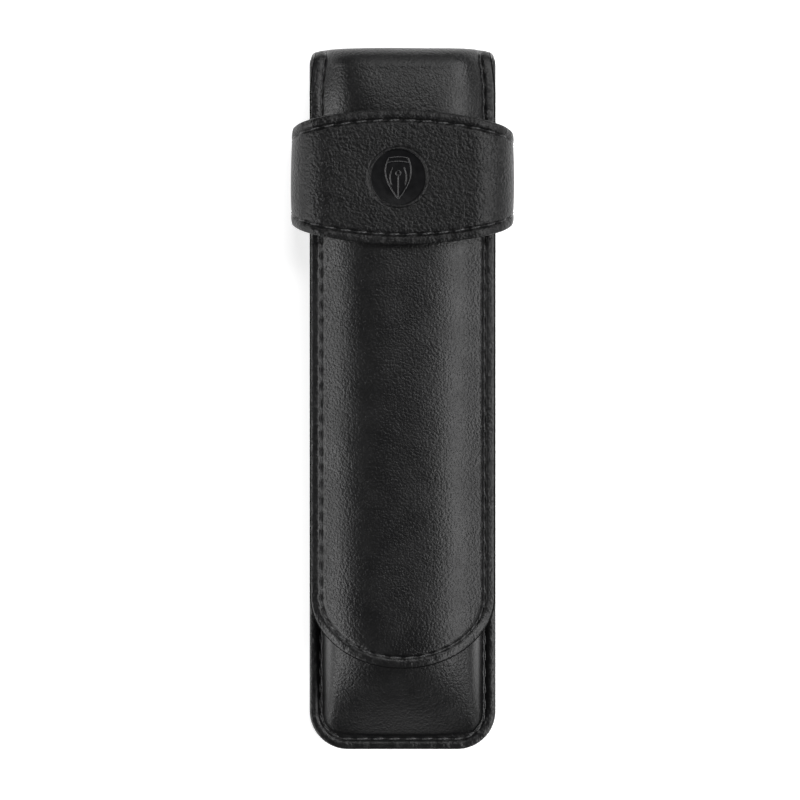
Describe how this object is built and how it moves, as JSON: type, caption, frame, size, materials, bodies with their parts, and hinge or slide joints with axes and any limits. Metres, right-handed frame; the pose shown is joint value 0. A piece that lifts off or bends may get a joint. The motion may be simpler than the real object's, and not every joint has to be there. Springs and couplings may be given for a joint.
{
  "type": "fountain pen case",
  "caption": "Slim black leather pen case: sewn pouch with a moulded front and an inner divider, shut by a long rounded flap that tucks under a wide loop with a round emblem.",
  "frame": {"origin": "middle of the case's bounding box, on the surface that its back lies on", "axes": "+X across the case, +Y along it towards the folded end with the mouth, +Z out of the front, through the flap and the loop"},
  "size_m": [0.0508, 0.16, 0.0223],
  "materials": {
    "case_leather": "black nappa, fine pebbled grain, soft satin",
    "loop_leather": "black nappa, coarser pebbled grain, satin",
    "lining_leather": "thin smooth black lining leather, matt",
    "pressed_leather": "hot-pressed black leather, smooth, glossy",
    "thread": "black twisted polyester thread, slight sheen",
    "board": "bonded leather fibre board, hidden between leather and lining"
  },
  "bodies": {
    "pouch": {"back_panel": "case_leather", "back_boards": "board", "back_lining": "lining_leather", "front_panel": "case_leather", "front_lining": "lining_leather", "mouth_facing": "lining_leather", "pen_divider": "lining_leather", "divider_thread": "thread", "case_seam_thread": "thread", "loop_strap": "loop_leather", "loop_lining": "lining_leather", "loop_emblem": "pressed_leather", "loop_upper_thread": "thread", "loop_lower_thread": "thread", "loop_back_thread": "thread"},
    "flap_spine": {"spine_leather": "case_leather", "spine_board": "board", "spine_lining": "lining_leather"},
    "flap_neck": {"neck_leather": "case_leather", "neck_board": "board", "neck_lining": "lining_leather", "neck_thread": "thread"},
    "flap_tongue": {"tongue_leather": "case_leather", "tongue_board": "board", "tongue_lining": "lining_leather", "tongue_thread": "thread"}
  },
  "joints": [
    {"name": "flap_open", "type": "hinge", "parent": "pouch", "child": "flap_spine", "pos_m": [0, 0.0789, 0.0011], "axis": [-1, 0, 0], "range_deg": [0, 75]},
    {"name": "flap_unfold", "type": "hinge", "parent": "flap_spine", "child": "flap_neck", "pos_m": [0, 0.0789, 0.0188], "axis": [-1, 0, 0], "range_deg": [0, 75], "deforming": ["neck_leather", "neck_board", "neck_lining", "neck_thread"]},
    {"name": "tongue_lift", "type": "hinge", "parent": "flap_neck", "child": "flap_tongue", "pos_m": [0, 0.032, 0.0199], "axis": [-1, 0, 0], "range_deg": [0, 30]}
  ],
  "couplings": [
    {"joint": "flap_unfold", "follows": "flap_open", "ratio": 1}
  ]
}
